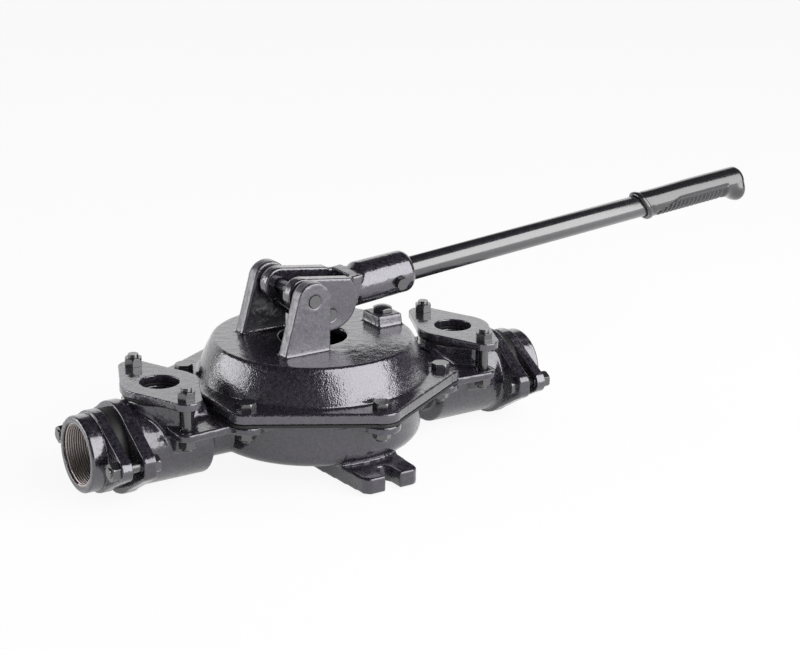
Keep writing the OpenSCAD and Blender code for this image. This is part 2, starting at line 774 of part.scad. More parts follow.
// Outline of the cheeks in the lever's frame: X along the lever, Y upwards
module cheek_outline() {
    gap = sqrt(cheek_disc_u * cheek_disc_u + lever_drop * lever_drop);
    dip = atan2(lever_drop, cheek_disc_u);
    lean = -dip - acos((pivot_boss_r - cheek_disc_r) / gap);
    boss_s = pivot_boss_r * side_share;
    disc_s = cheek_disc_r * side_share;
    circle(r = pivot_boss_r);
    difference() {
        union() {
            translate([cheek_disc_u, -lever_drop]) circle(r = cheek_disc_r);
            polygon([
                [boss_s * sin(cheek_slope), boss_s * cos(cheek_slope)],
                [boss_s * cos(lean), boss_s * sin(lean)],
                [cheek_disc_u + disc_s * cos(lean), -lever_drop + disc_s * sin(lean)],
                [cheek_disc_u + disc_s, -lever_drop],
                [cheek_disc_u, -lever_drop + disc_s]
            ]);
        }
        rotate(-cheek_slope) translate([-cheek_disc_r, boss_s]) square([gap + 3 * cheek_disc_r, cheek_disc_r]);
    }
}

// Outline of the socket, turned about the lever's axis: X outwards, Y along the lever
module socket_section() {
    low = fork_slot_u + shoulder_l - join_in;
    run = socket_u - socket_round - low;
    mouth_in = socket_mouth_r - socket_round;
    polygon([
        [0, low],
        [shoulder_up, low],
        [socket_r, low + socket_r - shoulder_up],
        [socket_mouth_r, low + run],
        [0, low + run]
    ]);
    translate([0, low + run]) square([mouth_in, socket_round]);
    intersection() {
        translate([mouth_in, low + run]) circle(r = socket_round);
        translate([0, low + run - join_in]) square([socket_mouth_r, socket_round + join_in]);
    }
}

module lever_fork() {
    shoulder_u = fork_slot_u + shoulder_l;
    shoulder_w = socket_r * shoulder_share;
    color(iron) on_lever() difference() {
        union() {
            translate([0, cheek_out_y, 0]) rotate([90, 0, 0]) linear_extrude(2 * cheek_out_y) cheek_outline();
            translate([0, 0, -lever_drop - shoulder_down]) linear_extrude(shoulder_up + shoulder_down) polygon([
                [cheek_disc_u, -cheek_out_y],
                [fork_slot_u - shoulder_l / 2, -cheek_out_y],
                [fork_slot_u, -shoulder_w],
                [shoulder_u, -shoulder_w],
                [shoulder_u, shoulder_w],
                [fork_slot_u, shoulder_w],
                [fork_slot_u - shoulder_l / 2, cheek_out_y],
                [cheek_disc_u, cheek_out_y]
            ]);
            translate([0, 0, -lever_drop]) rotate([0, 90, 0]) rotate_extrude() socket_section();
        }
        translate([-cheek_disc_r, -cheek_in_y, -lever_drop - 2 * cheek_disc_r]) {
            cube([cheek_disc_r + fork_slot_u, 2 * cheek_in_y, 4 * cheek_disc_r]);
        }
        translate([socket_u - socket_depth, 0, -lever_drop]) rotate([0, 90, 0]) cylinder(r = tube_r + tube_clear, h = socket_depth + cut_over);
        rotate([90, 0, 0]) cylinder(r = pivot_r + pin_clear, h = 2 * (cheek_out_y + cut_over), center = true);
        translate([link_pin_u, 0, -link_pin_w]) rotate([90, 0, 0]) {
            cylinder(r = link_pin_r + seat_gap, h = 2 * (cheek_out_y + cut_over), center = true);
        }
        translate([socket_u - screw_inset, 0, -lever_drop]) rotate([90 + screw_turn, 0, 0]) cylinder(r = stud_r + seat_gap, h = 2 * socket_r);
    }
}

module lever_tube() {
    color(steel) on_lever() translate([socket_u - socket_depth, 0, -lever_drop]) rotate([0, 90, 0]) difference() {
        cylinder(r = tube_r, h = socket_depth - socket_u + grip_u + grip_l - grip_end_t);
        translate([0, 0, -cut_over]) cylinder(r = tube_r - tube_wall, h = socket_depth - socket_u + grip_u + grip_l + cut_over);
    }
}

// Section of the grip with its collar and round closed end: X outwards, Y along the lever
module grip_section() {
    big_r = grip_r + grip_swell;
    straight = grip_l - grip_round;
    square([grip_collar_r, grip_collar_l]);
    square([big_r - grip_round, grip_l]);
    polygon([
        [0, 0],
        [grip_r, 0],
        [big_r, straight],
        [0, straight]
    ]);
    intersection() {
        translate([big_r - grip_round, straight]) circle(r = grip_round);
        translate([0, straight - join_in]) square([big_r, grip_round + join_in]);
    }
}

// Section of the lip under the grip's end, turned about an axis below the grip's own
module lip_section() {
    low = grip_l - grip_lip_l;
    polygon([
        [0, low],
        [grip_r - grip_lip_drop - join_in, low],
        [grip_lip_r, grip_l - grip_round],
        [grip_lip_r, grip_l - grip_round / 2],
        [grip_lip_r - grip_round / 2, grip_l - seat_gap],
        [0, grip_l - seat_gap]
    ]);
}

module lever_grip() {
    color(rubber) on_lever() translate([grip_u, 0, -lever_drop]) rotate([0, 90, 0]) difference() {
        union() {
            rotate_extrude() grip_section();
            translate([grip_lip_drop, 0, 0]) rotate_extrude() lip_section();
        }
        translate([0, 0, -cut_over]) cylinder(r = tube_r + tube_clear, h = grip_l - grip_end_t + cut_over);
    }
}

module clamp_screw() {
    color(steel) on_lever() translate([socket_u - screw_inset, 0, -lever_drop]) rotate([90 + screw_turn, 0, 0]) {
        translate([0, 0, socket_r + seat_gap]) hexagon(screw_r, screw_head_h);
        translate([0, 0, tube_r + tube_clear]) cylinder(r = stud_r, h = socket_r - tube_r + join_in);
    }
}

module link_pin() {
    color(steel) on_lever() translate([link_pin_u, 0, -link_pin_w]) rotate([90, 0, 0]) {
        cylinder(r = link_pin_r, h = 2 * (cheek_out_y + cut_over), center = true);
    }
}

module link() {
    color(steel) translate([link_pin_x, 0, axis_h + link_pin_level]) difference() {
        union() {
            rotate([90, 0, 0]) cylinder(r = link_eye_r, h = link_eye_w, center = true);
            translate([0, 0, link_low_level - link_pin_level]) cylinder(r = link_rod_r, h = link_pin_level - link_low_level);
        }
        rotate([90, 0, 0]) cylinder(r = link_pin_r + pin_clear, h = link_eye_w + 2 * cut_over, center = true);
    }
}

pump_body();
foot_ends();
diaphragm();
diaphragm_plate();
cover();
cover_bolts();
cover_nuts();
stop_screw();
left_port_flange();
right_port_flange();
left_port_gasket();
right_port_gasket();
left_studs();
right_studs();
left_stud_nuts();
right_stud_nuts();
left_end_flange();
right_end_flange();
left_valve_plate();
right_valve_plate();
left_end_bolts();
right_end_bolts();
left_end_nuts();
right_end_nuts();
pivot_pin();
lever_fork();
lever_tube();
lever_grip();
clamp_screw();
link_pin();
link();
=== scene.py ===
# %% [markdown]
# # A hand lever diaphragm pump in black enamel
# The solids of the pump come from CAD and stay where they are. This lesson dresses them: it rounds the castings,
# cuts the threads, moulds the grip, mixes the finishes and sets up a small photo studio.

# %% Load the frame
import json
import math

import bmesh
import bpy
from mathutils import Matrix, Vector

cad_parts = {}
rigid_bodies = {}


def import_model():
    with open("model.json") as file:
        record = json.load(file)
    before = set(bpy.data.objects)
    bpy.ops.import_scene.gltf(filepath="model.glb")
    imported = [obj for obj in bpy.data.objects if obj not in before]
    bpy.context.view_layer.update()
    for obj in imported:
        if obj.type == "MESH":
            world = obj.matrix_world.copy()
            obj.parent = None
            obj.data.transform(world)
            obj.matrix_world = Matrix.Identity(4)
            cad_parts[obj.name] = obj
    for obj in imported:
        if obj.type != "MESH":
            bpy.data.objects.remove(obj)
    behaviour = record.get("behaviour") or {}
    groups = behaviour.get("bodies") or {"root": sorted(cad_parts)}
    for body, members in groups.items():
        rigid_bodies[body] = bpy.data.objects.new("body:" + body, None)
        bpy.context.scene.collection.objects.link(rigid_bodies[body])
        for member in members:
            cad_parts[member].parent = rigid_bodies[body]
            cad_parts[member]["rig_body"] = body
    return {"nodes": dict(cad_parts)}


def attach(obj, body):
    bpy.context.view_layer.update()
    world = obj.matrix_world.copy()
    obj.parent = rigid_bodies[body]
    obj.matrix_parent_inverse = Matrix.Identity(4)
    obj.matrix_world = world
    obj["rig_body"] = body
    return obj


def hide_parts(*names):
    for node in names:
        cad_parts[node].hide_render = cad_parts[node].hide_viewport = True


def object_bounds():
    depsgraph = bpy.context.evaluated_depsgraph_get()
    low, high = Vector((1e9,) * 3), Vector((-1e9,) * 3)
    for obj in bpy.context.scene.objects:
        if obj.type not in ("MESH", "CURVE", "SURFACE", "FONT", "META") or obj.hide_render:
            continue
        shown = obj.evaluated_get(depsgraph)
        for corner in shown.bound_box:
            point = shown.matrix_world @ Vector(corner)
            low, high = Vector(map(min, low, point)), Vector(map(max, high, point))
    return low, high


for leftover in list(bpy.data.objects):
    bpy.data.objects.remove(leftover)
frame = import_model()
cad_low, cad_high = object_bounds()
nodes = frame["nodes"]
body_of_node = {name: piece["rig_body"] for name, piece in nodes.items()}
MM = 0.001
print("frame:", len(nodes), "nodes, size in mm", [round(side / MM) for side in cad_high - cad_low])

# %% [markdown]
# ## Two helpers for node trees
# A finish and a shape are both trees of nodes. One function adds a node, sets it up and links it, so each tree below
# reads from top to bottom. Colours are written as they look on a screen and turned into the linear values that a
# render works with.

# %% Node and colour helpers
def add(tree, kind, wires=None, **settings):
    """Adds one node. Settings are its properties; wires give a socket a value or another node's output."""
    node = tree.nodes.new(kind)
    for name, value in settings.items():
        setattr(node, name, value)
    for socket, source in (wires or {}).items():
        target = node.inputs[socket]
        if isinstance(source, bpy.types.NodeSocket):
            tree.links.new(source, target)
        else:
            target.default_value = source
    return node


def linear(code):
    """Turns an sRGB hex colour into linear red, green, blue and alpha."""
    channels = [int(code[i:i + 2], 16) / 255 for i in (1, 3, 5)]
    return [c / 12.92 if c <= 0.04045 else ((c + 0.055) / 1.055) ** 2.4 for c in channels] + [1.0]


print("black enamel in linear light:", [round(c, 3) for c in linear("#1c1c1f")[:3]])

# %% [markdown]
# ## The camera
# The pump is seen from its front left and a little from above, with a long lens. The place and the three angles were
# worked out from points of the picture, so the same points of the CAD model fall on nearly the same pixels.

# %% Camera
CAMERA_PLACE = (-0.9639, -1.6041, 0.7436)
HEADING, DOWNWARD, ROLL = 33.64, 18.22, 0.985
FOCAL_PIXELS, PICTURE_WIDTH = 1994.9, 800
camera_data = bpy.data.cameras.new("camera")
camera_data.sensor_width = 36
camera_data.lens = FOCAL_PIXELS / PICTURE_WIDTH * camera_data.sensor_width
camera_data.clip_start, camera_data.clip_end = 0.05, 60
camera = bpy.data.objects.new("camera", camera_data)
bpy.context.scene.collection.objects.link(camera)
camera.matrix_world = (
    Matrix.Translation(CAMERA_PLACE)
    @ Matrix.Rotation(math.radians(-HEADING), 4, "Z")
    @ Matrix.Rotation(math.radians(90 - DOWNWARD), 4, "X")
    @ Matrix.Rotation(math.radians(ROLL), 4, "Z")
)
bpy.context.scene.camera = camera
print("lens:", round(camera_data.lens, 1), "mm")

# %% [markdown]
# ## The studio
# Black gloss shows the room more than itself. The room has a white wall behind the pump, a large soft box to the
# right of the camera, a smaller one to the left, a pale floor and a dark ceiling, which gives the dark upper band
# along the lever. The world does the walls and the ceiling, and is plain white where the camera looks straight at it.
# The floor lies just under the lowest point of the part.

# %% World
WALL_TOP, CEILING_FROM, CEILING_LEVEL = 0.42, 0.56, 0.04
BEHIND, SIDE_FROM, WHITE_FROM, SIDE_LEVEL = (0.42, 0.91, 0.0), 0.5, 0.88, 0.09
AMBIENT = 0.34
scene = bpy.context.scene
scene.view_settings.view_transform = "Standard"
world = bpy.data.worlds.new("studio")
scene.world = world
world.use_nodes = True
sky = world.node_tree
sky.nodes.clear()
look = add(sky, "ShaderNodeTexCoord").outputs["Generated"]
height = add(sky, "ShaderNodeSeparateXYZ", {"Vector": look}).outputs["Z"]
wall = add(sky, "ShaderNodeMapRange", {
    "Value": height, "From Min": WALL_TOP, "From Max": CEILING_FROM, "To Min": 1.0, "To Max": CEILING_LEVEL,
}, interpolation_type="SMOOTHSTEP").outputs["Result"]
# only the wall behind the pump is white: facing is 1 there, and the sides and the camera's end stay dark
facing = add(sky, "ShaderNodeVectorMath", {0: look, 1: BEHIND}, operation="DOT_PRODUCT").outputs["Value"]
sweep = add(sky, "ShaderNodeMapRange", {
    "Value": facing, "From Min": SIDE_FROM, "From Max": WHITE_FROM, "To Min": SIDE_LEVEL, "To Max": 1.0,
}, interpolation_type="SMOOTHSTEP").outputs["Result"]
room = add(sky, "ShaderNodeMath", {0: wall, 1: sweep}, operation="MULTIPLY").outputs["Value"]
path = add(sky, "ShaderNodeLightPath")
seen = add(sky, "ShaderNodeMath", {
    0: path.outputs["Is Glossy Ray"], 1: path.outputs["Is Transmission Ray"],
}, operation="MAXIMUM").outputs["Value"]
mirrored = add(sky, "ShaderNodeBackground", {"Color": room, "Strength": 1.0})
ambient = add(sky, "ShaderNodeBackground", {"Color": linear("#ffffff"), "Strength": AMBIENT})
plain = add(sky, "ShaderNodeBackground", {"Color": linear("#ffffff"), "Strength": 1.0})
lit = add(sky, "ShaderNodeMixShader", {0: seen, 1: ambient.outputs[0], 2: mirrored.outputs[0]})
shown = add(sky, "ShaderNodeMixShader", {
    0: path.outputs["Is Camera Ray"], 1: lit.outputs[0], 2: plain.outputs[0],
})
add(sky, "ShaderNodeOutputWorld", {"Surface": shown.outputs[0]})
print("world: white below", round(math.degrees(math.asin(WALL_TOP))), "degrees")

# %% Soft boxes
MIDDLE = Vector((0.0, 0.0, 0.08))


def soft_box(name, toward, distance, width, tall, radiance):
    """An area lamp that looks at the pump. Its watts follow from how bright its face should be."""
    lamp = bpy.data.lights.new(name, "AREA")
    lamp.shape = "RECTANGLE"
    lamp.size, lamp.size_y = width, tall
    lamp.energy = radiance * math.pi * width * tall
    holder = bpy.data.objects.new(name, lamp)
    scene.collection.objects.link(holder)
    out = Vector(toward).normalized()
    holder.matrix_world = Matrix.Translation(MIDDLE + out * distance) @ out.to_track_quat("Z", "Y").to_matrix().to_4x4()
    print(name, round(lamp.energy), "W")


soft_box("front_right_box", (0.40, -0.82, 0.50), 2.2, 2.6, 2.4, 4.2)
soft_box("left_box", (-0.80, 0.56, 0.20), 2.6, 2.0, 1.5, 3.4)

# %% Floor
FLOOR_HALF, FLOOR_GAP = 8.0, 0.1
WHITE_SHARES = {"Is Camera Ray": 0.91, "Is Glossy Ray": 0.35, "Is Transmission Ray": 0.35}
floor_z = cad_low[2] - FLOOR_GAP * MM
corners = [(x * FLOOR_HALF, y * FLOOR_HALF, floor_z) for x, y in ((-1, -1), (1, -1), (1, 1), (-1, 1))]
floor_mesh = bpy.data.meshes.new("floor")
floor_mesh.from_pydata(corners, [], [(0, 1, 2, 3)])
floor = bpy.data.objects.new("floor", floor_mesh)
scene.collection.objects.link(floor)
paper = bpy.data.materials.new("white_paper_sweep")
paper.use_nodes = True
sheet = paper.node_tree
sheet.nodes.clear()
path = add(sheet, "ShaderNodeLightPath")
matte = add(sheet, "ShaderNodeBsdfDiffuse", {"Color": linear("#f0f0f0")})
white = add(sheet, "ShaderNodeEmission", {"Color": linear("#ffffff"), "Strength": 1.0})
# what a share leaves over is the lit paper, so the pump's shadow stays, in the gloss too
glow = 0.0
for ray, share in WHITE_SHARES.items():
    wires = {0: path.outputs[ray], 1: share, 2: glow}
    glow = add(sheet, "ShaderNodeMath", wires, operation="MULTIPLY_ADD").outputs["Value"]
paper_out = add(sheet, "ShaderNodeMixShader", {0: glow, 1: matte.outputs[0], 2: white.outputs[0]})
add(sheet, "ShaderNodeOutputMaterial", {"Surface": paper_out.outputs[0]})
floor_mesh.materials.append(paper)
print("floor:", 2 * FLOOR_HALF, "m square, at", round(floor_z / MM, 1), "mm")

# %% [markdown]
# ## The finishes
# The pump is sand cast iron under stoved black enamel. The sand leaves a fine grain and the enamel flows over it, so
# the gloss breaks into small specks, most of all on the side of the dome. The tube, bolts and nuts are smooth steel
# under the same enamel. On the ears the enamel is duller and more mottled. The turned end ports are bare iron, the
# diaphragm is rubber and the grip is moulded vinyl.

# %% Black enamel over sand cast iron
VIOLET_CAST = linear("#f8f5ff")
SAG_MM, SAG_WEIGHT, MOTTLE_MM = 9, 4.0, 3.5
NOISE_LOW, NOISE_HIGH = 0.3, 0.7
TONE_PLACES = (0.35, 0.65)
ZONE_EASE = 2 * MM


def enamel_on_castings(name, grain_mm, relief_mm, coarse_zone=None, roughness=(0.10, 0.34), coat_roughness=0.05,
                       tones=("#19171c", "#2d2a33"), ior=1.92):
    """Black enamel on iron: noise of the sand grain's size lifts the gloss, wider ones bend and mottle it."""
    finish = bpy.data.materials.new(name)
    finish.use_nodes = True
    tree = finish.node_tree
    tree.nodes.clear()
    where = add(tree, "ShaderNodeTexCoord").outputs["Object"]
    grain = add(tree, "ShaderNodeTexNoise", {
        "Vector": where, "Scale": 1 / (grain_mm * MM), "Detail": 0.5, "Roughness": 0.4}).outputs["Fac"]
    sag = add(tree, "ShaderNodeTexNoise", {
        "Vector": where, "Scale": 1 / (SAG_MM * MM), "Detail": 1.0}).outputs["Fac"]
    mottle = add(tree, "ShaderNodeTexNoise", {
        "Vector": where, "Scale": 1 / (MOTTLE_MM * MM), "Detail": 2.0}).outputs["Fac"]
    height = grain
    if coarse_zone:
        low, high, gain = coarse_zone
        z = add(tree, "ShaderNodeSeparateXYZ", {"Vector": where}).outputs["Z"]
        above = add(tree, "ShaderNodeMapRange", {
            "Value": z, "From Min": low - ZONE_EASE, "From Max": low + ZONE_EASE, "To Min": 0.0, "To Max": gain - 1})
        below = add(tree, "ShaderNodeMapRange", {
            "Value": z, "From Min": high - ZONE_EASE, "From Max": high + ZONE_EASE / 2, "To Min": 1.0, "To Max": 0.0})
        share = add(tree, "ShaderNodeMath", {
            0: above.outputs["Result"], 1: below.outputs["Result"]}, operation="MULTIPLY").outputs["Value"]
        more = add(tree, "ShaderNodeMath", {0: share, 1: 1.0}, operation="ADD").outputs["Value"]
        height = add(tree, "ShaderNodeMath", {0: grain, 1: more}, operation="MULTIPLY").outputs["Value"]
    wave = add(tree, "ShaderNodeMath", {0: sag, 1: SAG_WEIGHT, 2: height}, operation="MULTIPLY_ADD").outputs["Value"]
    bump = add(tree, "ShaderNodeBump", {
        "Height": wave, "Strength": 1.0, "Distance": relief_mm * MM}).outputs["Normal"]
    tone = add(tree, "ShaderNodeValToRGB", {"Fac": mottle})
    for stop, place, colour in zip(tone.color_ramp.elements, TONE_PLACES, tones):
        stop.position, stop.color = place, linear(colour)
    gloss = add(tree, "ShaderNodeMapRange", {
        "Value": grain, "From Min": NOISE_LOW, "From Max": NOISE_HIGH,
        "To Min": roughness[0], "To Max": roughness[1]}).outputs["Result"]
    shader = add(tree, "ShaderNodeBsdfPrincipled", {
        "Base Color": tone.outputs["Color"], "Roughness": gloss, "IOR": ior, "Specular Tint": VIOLET_CAST,
        "Normal": bump, "Coat Weight": 1.0, "Coat Roughness": coat_roughness, "Coat IOR": 1.5, "Coat Normal": bump})
    add(tree, "ShaderNodeOutputMaterial", {"Surface": shader.outputs[0]})
    return finish


# the side of the dome: its lower and upper height in m, and how much higher the grain stands there
DOME_SIDE = (0.0835, 0.1135, 2.2)
# stoved gloss enamel on the small castings: fork, port flanges and end flanges
enamel_fine = enamel_on_castings("black_enamel_on_fine_castings", 2.2, 0.07)
# the same on the body, with a lower index, so it mirrors the room less
enamel_body = enamel_on_castings("black_enamel_on_body", 2.2, 0.07, ior=1.72)
# the cover: a closer and higher grain, higher still on the side of the dome
enamel_dome = enamel_on_castings("black_enamel_on_sand_cast_dome", 1.4, 0.11, DOME_SIDE)
# the ears, where the coat is dull and blotchy
enamel_ears = enamel_on_castings("dull_black_enamel_on_ears", 1.8, 0.16, None, (0.30, 0.46), 0.22,
                                 ("#100e13", "#3d3944"))
print("cast finishes:", enamel_fine.name, enamel_body.name, enamel_dome.name, enamel_ears.name)

# %% Black enamel over smooth steel, bare iron, rubber and vinyl
def simple_finish(name, colours, roughness, spot_mm, relief_mm, **constants):
    """A finish with one noise: it varies the colour and the roughness a little and lifts the surface."""
    finish = bpy.data.materials.new(name)
    finish.use_nodes = True
    tree = finish.node_tree
    tree.nodes.clear()
    where = add(tree, "ShaderNodeTexCoord").outputs["Object"]
    spots = add(tree, "ShaderNodeTexNoise", {
        "Vector": where, "Scale": 1 / (spot_mm * MM), "Detail": 3.0}).outputs["Fac"]
    tone = add(tree, "ShaderNodeValToRGB", {"Fac": spots})
    tone.color_ramp.elements[0].color = linear(colours[0])
    tone.color_ramp.elements[1].color = linear(colours[1])
    gloss = add(tree, "ShaderNodeMapRange", {
        "Value": spots, "From Min": NOISE_LOW, "From Max": NOISE_HIGH,
        "To Min": roughness[0], "To Max": roughness[1]})
    bump = add(tree, "ShaderNodeBump", {"Height": spots, "Strength": 1.0, "Distance": relief_mm * MM})
    shader = add(tree, "ShaderNodeBsdfPrincipled", {
        "Base Color": tone.outputs["Color"], "Roughness": gloss.outputs["Result"], "Normal": bump.outputs["Normal"],
        **{socket.replace("_", " ").title().replace("Ior", "IOR"): value for socket, value in constants.items()}})
    add(tree, "ShaderNodeOutputMaterial", {"Surface": shader.outputs[0]})
    return finish


# enamel on drawn tube, bolts and nuts: smooth, with a soft gloss
enamel_steel = simple_finish("black_enamel_on_drawn_steel", ("#1b1a1f", "#27262b"), (0.20, 0.28), 6, 0.03,
                             ior=1.9, coat_weight=1.0, coat_roughness=0.13, coat_ior=1.5)
# iron left bare after turning, dulled by air
bare_iron = simple_finish("bare_turned_iron", ("#c4b9b6", "#ddd4d1"), (0.42, 0.56), 1.2, 0.03, metallic=0.9)
# sheet rubber of the diaphragm, the gaskets and the valve plates
rubber = simple_finish("black_rubber_sheet", ("#161617", "#232325"), (0.50, 0.62), 2, 0.05, ior=1.5)
# vinyl from a polished mould, on the grip's upper side, collar and ribs
vinyl = simple_finish("moulded_black_vinyl", ("#1c1c1f", "#252528"), (0.18, 0.26), 3, 0.02,
                      ior=1.62, coat_weight=1.0, coat_roughness=0.08)
# vinyl from a grained mould, in the panel between the ribs
vinyl_matt = simple_finish("grained_black_vinyl", ("#202023", "#2b2b2f"), (0.40, 0.50), 2, 0.04, ior=1.54)
print("plain finishes:", enamel_steel.name, bare_iron.name, rubber.name, vinyl.name, vinyl_matt.name)

# %% [markdown]
# ## Rounding the castings
# CAD edges are sharp, and a sand casting has none: every outer edge is eased and every inner corner has a fillet.
# A bevel needs clean edges, which the crossings of tube, block and web don't have. So each casting is remeshed into
# small voxels, smoothed, which rounds inner and outer edges alike, and thinned where it is flat. The slotted ends of
# the feet are cast in one with the body, so both share a skin.

# %% Casting skins
JOIN_WITHIN, SHARP_FROM = 0.002 * MM, math.radians(28)


def merged_copy(node):
    """A copy of a CAD node's mesh with its loose triangles joined."""
    mesh = nodes[node].data.copy()
    mesh.materials.clear()
    work = bmesh.new()
    work.from_mesh(mesh)
    bmesh.ops.remove_doubles(work, verts=work.verts, dist=JOIN_WITHIN)
    work.to_mesh(mesh)
    work.free()
    if mesh.has_custom_normals:
        mesh.attributes.remove(mesh.attributes["custom_normal"])
    return mesh


def evaluated_mesh(piece):
    """The mesh that a piece's modifiers make, as a plain mesh."""
    return bpy.data.meshes.new_from_object(piece.evaluated_get(bpy.context.evaluated_depsgraph_get()))


FOOT_SEAM, FOOT_LAP, EARS_FROM = 110.2, 4.0, 119.5


def overlapping_copy(node):
    """A copy of the foot's ends that laps into the body at its seat, so that both make one skin."""
    mesh = merged_copy(node)
    for vertex in mesh.vertices:
        if abs(vertex.co.y) < (FOOT_SEAM + 0.1) * MM:
            vertex.co.y *= 1 - FOOT_LAP / FOOT_SEAM
    return mesh


PIVOT, TILT, LEVER_DROP = (-27.0, 0.0, 168.3), math.radians(5.0), 12.9
lever_frame = Matrix.Translation([c * MM for c in PIVOT]) @ Matrix.Rotation(-TILT, 4, "Y")
SHOULDER_FROM, SHOULDER_TO, SHOULDER_CUT, SHOULDER_UP = 61.5, 84.0, 8.5, 16.0


def short_shoulder(mesh):
    """Lets the round socket start right behind the cheeks, except for the saddle on top, as on the casting."""
    mesh.transform(lever_frame.inverted())
    for vertex in mesh.vertices:
        if SHOULDER_FROM * MM < vertex.co.x < SHOULDER_TO * MM:
            rise = (vertex.co.z / MM + LEVER_DROP) / SHOULDER_UP
            vertex.co.x -= SHOULDER_CUT * MM * min(max(1 - rise, 0.0), 1.0)
    mesh.transform(lever_frame)


def casting(node, finish, voxel_mm, passes, triangles, joined=None, reshape=None):
    """Replaces a CAD casting, and a node cast in one with it, by a skin with rounded edges."""
    piece = bpy.data.objects.new(node + "_casting", merged_copy(node))
    if reshape:
        reshape(piece.data)
    if joined:
        both = bmesh.new()
        both.from_mesh(piece.data)
        both.from_mesh(overlapping_copy(joined))
        both.to_mesh(piece.data)
        both.free()
    scene.collection.objects.link(piece)
    remesh = piece.modifiers.new("sand", "REMESH")
    remesh.mode, remesh.voxel_size, remesh.adaptivity = "VOXEL", voxel_mm * MM, 0.0
    smooth = piece.modifiers.new("fillets", "SMOOTH")
    smooth.factor, smooth.iterations = 0.5, passes
    dense = evaluated_mesh(piece)
    piece.modifiers.clear()
    piece.data = dense
    count = sum(len(face.vertices) - 2 for face in dense.polygons)
    if count > triangles:
        thin = piece.modifiers.new("thin", "DECIMATE")
        thin.ratio = triangles / count
        piece.data = evaluated_mesh(piece)
        piece.modifiers.clear()
    mesh = piece.data
    mesh.materials.clear()
    mesh.materials.append(finish)
    mesh.shade_smooth()
    weighted = piece.modifiers.new("flat_faces", "WEIGHTED_NORMAL")
    weighted.mode, weighted.weight, weighted.keep_sharp = "FACE_AREA", 50, False
    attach(piece, body_of_node[node])
    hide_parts(*([node, joined] if joined else [node]))
    print(piece.name, count, "->", len(mesh.polygons), "faces")
    return piece


casting("pump_body", enamel_body, 1.25, 7, 180000, "foot_ends")
cover = casting("cover", enamel_dome, 1.2, 8, 170000)
cover.data.materials.append(enamel_ears)
for face in cover.data.polygons:
    face.material_index = 1 if face.center.z > EARS_FROM * MM else 0
casting("lever_fork", enamel_fine, 0.9, 14, 90000, reshape=short_shoulder)
for side in ("left", "right"):
    casting(side + "_port_flange", enamel_fine, 0.8, 5, 40000)
casting("stop_screw", enamel_steel, 0.5, 12, 12000)

# %% [markdown]
# ## Easing the other pieces
# Bolts, nuts, pins and plates keep their CAD shape. A small bevel on their sharp edges catches the light. Their
# triangles are first joined by a Weld modifier, so that the bevel finds edges between faces.

# %% Eased pieces
EASED = {
    enamel_steel: {"cover_bolts": 0.35, "cover_nuts": 0.35, "left_studs": 0.4, "right_studs": 0.4,
                   "left_stud_nuts": 0.35, "right_stud_nuts": 0.35, "left_end_bolts": 0.35, "right_end_bolts": 0.35,
                   "left_end_nuts": 0.35, "right_end_nuts": 0.35, "pivot_pin": 0.8, "clamp_screw": 0.5,
                   "link_pin": 0.8, "link": 0.6, "lever_tube": 0.3, "diaphragm_plate": 0.6},
    rubber: {"diaphragm": 0.5, "left_port_gasket": 0.4, "right_port_gasket": 0.4, "left_valve_plate": 0.5,
             "right_valve_plate": 0.5},
}
for finish, widths in EASED.items():
    for node, width in widths.items():
        piece = nodes[node]
        piece.data.materials.clear()
        piece.data.materials.append(finish)
        weld = piece.modifiers.new("weld", "WELD")
        weld.merge_threshold = JOIN_WITHIN
        bevel = piece.modifiers.new("ease", "BEVEL")
        bevel.width, bevel.segments, bevel.limit_method = width * MM, 2, "ANGLE"
        bevel.angle_limit, bevel.harden_normals, bevel.use_clamp_overlap = SHARP_FROM, True, True
print("eased pieces:", sum(len(widths) for widths in EASED.values()))

# %% [markdown]
# ## The threaded end ports
# The end ports are turned: mouth, chamfer and bore are bare iron, the rest is enamel. A copy of the CAD flange gets a
# bevel, its bore is opened to the root of the thread, and its faces take one of the two finishes by where they lie.

# %% End flanges
AXIS, HUB_X, HUB_BORE, THREAD_DEPTH = 42.0, 256.5, 28.8, 1.2
PORT_EASE, TURNED_RIM, FACE_DEPTH = 0.9, 2, 0.3


def dressed(name, node, mesh, finishes):
    """Hangs a mesh on the body of a CAD node, in that node's place."""
    mesh.materials.clear()
    for finish in finishes:
        mesh.materials.append(finish)
    piece = bpy.data.objects.new(name, mesh)
    scene.collection.objects.link(piece)
    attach(piece, body_of_node[node])
    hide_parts(node)
    return piece


def from_axis(point):
    """Distance of a point from the common axis of the end ports, in mm."""
    return math.hypot(point.y, point.z - AXIS * MM) / MM


for side in ("left", "right"):
    mesh = merged_copy(side + "_end_flange")
    for vertex in mesh.vertices:
        if abs(from_axis(vertex.co) - HUB_BORE) < 0.05:
            grow = 1 + THREAD_DEPTH / HUB_BORE
            vertex.co.y *= grow
            vertex.co.z = AXIS * MM + (vertex.co.z - AXIS * MM) * grow
    blank = bpy.data.objects.new("blank", mesh)
    scene.collection.objects.link(blank)
    bevel = blank.modifiers.new("ease", "BEVEL")
    bevel.width, bevel.segments, bevel.limit_method = PORT_EASE * MM, 3, "ANGLE"
    bevel.angle_limit, bevel.harden_normals = SHARP_FROM, True
    eased = evaluated_mesh(blank)
    bpy.data.objects.remove(blank)
    eased.shade_smooth()
    for face in eased.polygons:
        turned = from_axis(face.center) < HUB_BORE + TURNED_RIM or abs(face.center.x) > (HUB_X - FACE_DEPTH) * MM
        face.material_index = 1 if turned else 0
    piece = dressed(side + "_end_port", side + "_end_flange", eased, (enamel_fine, bare_iron))
    print(piece.name, len(eased.polygons), "faces")

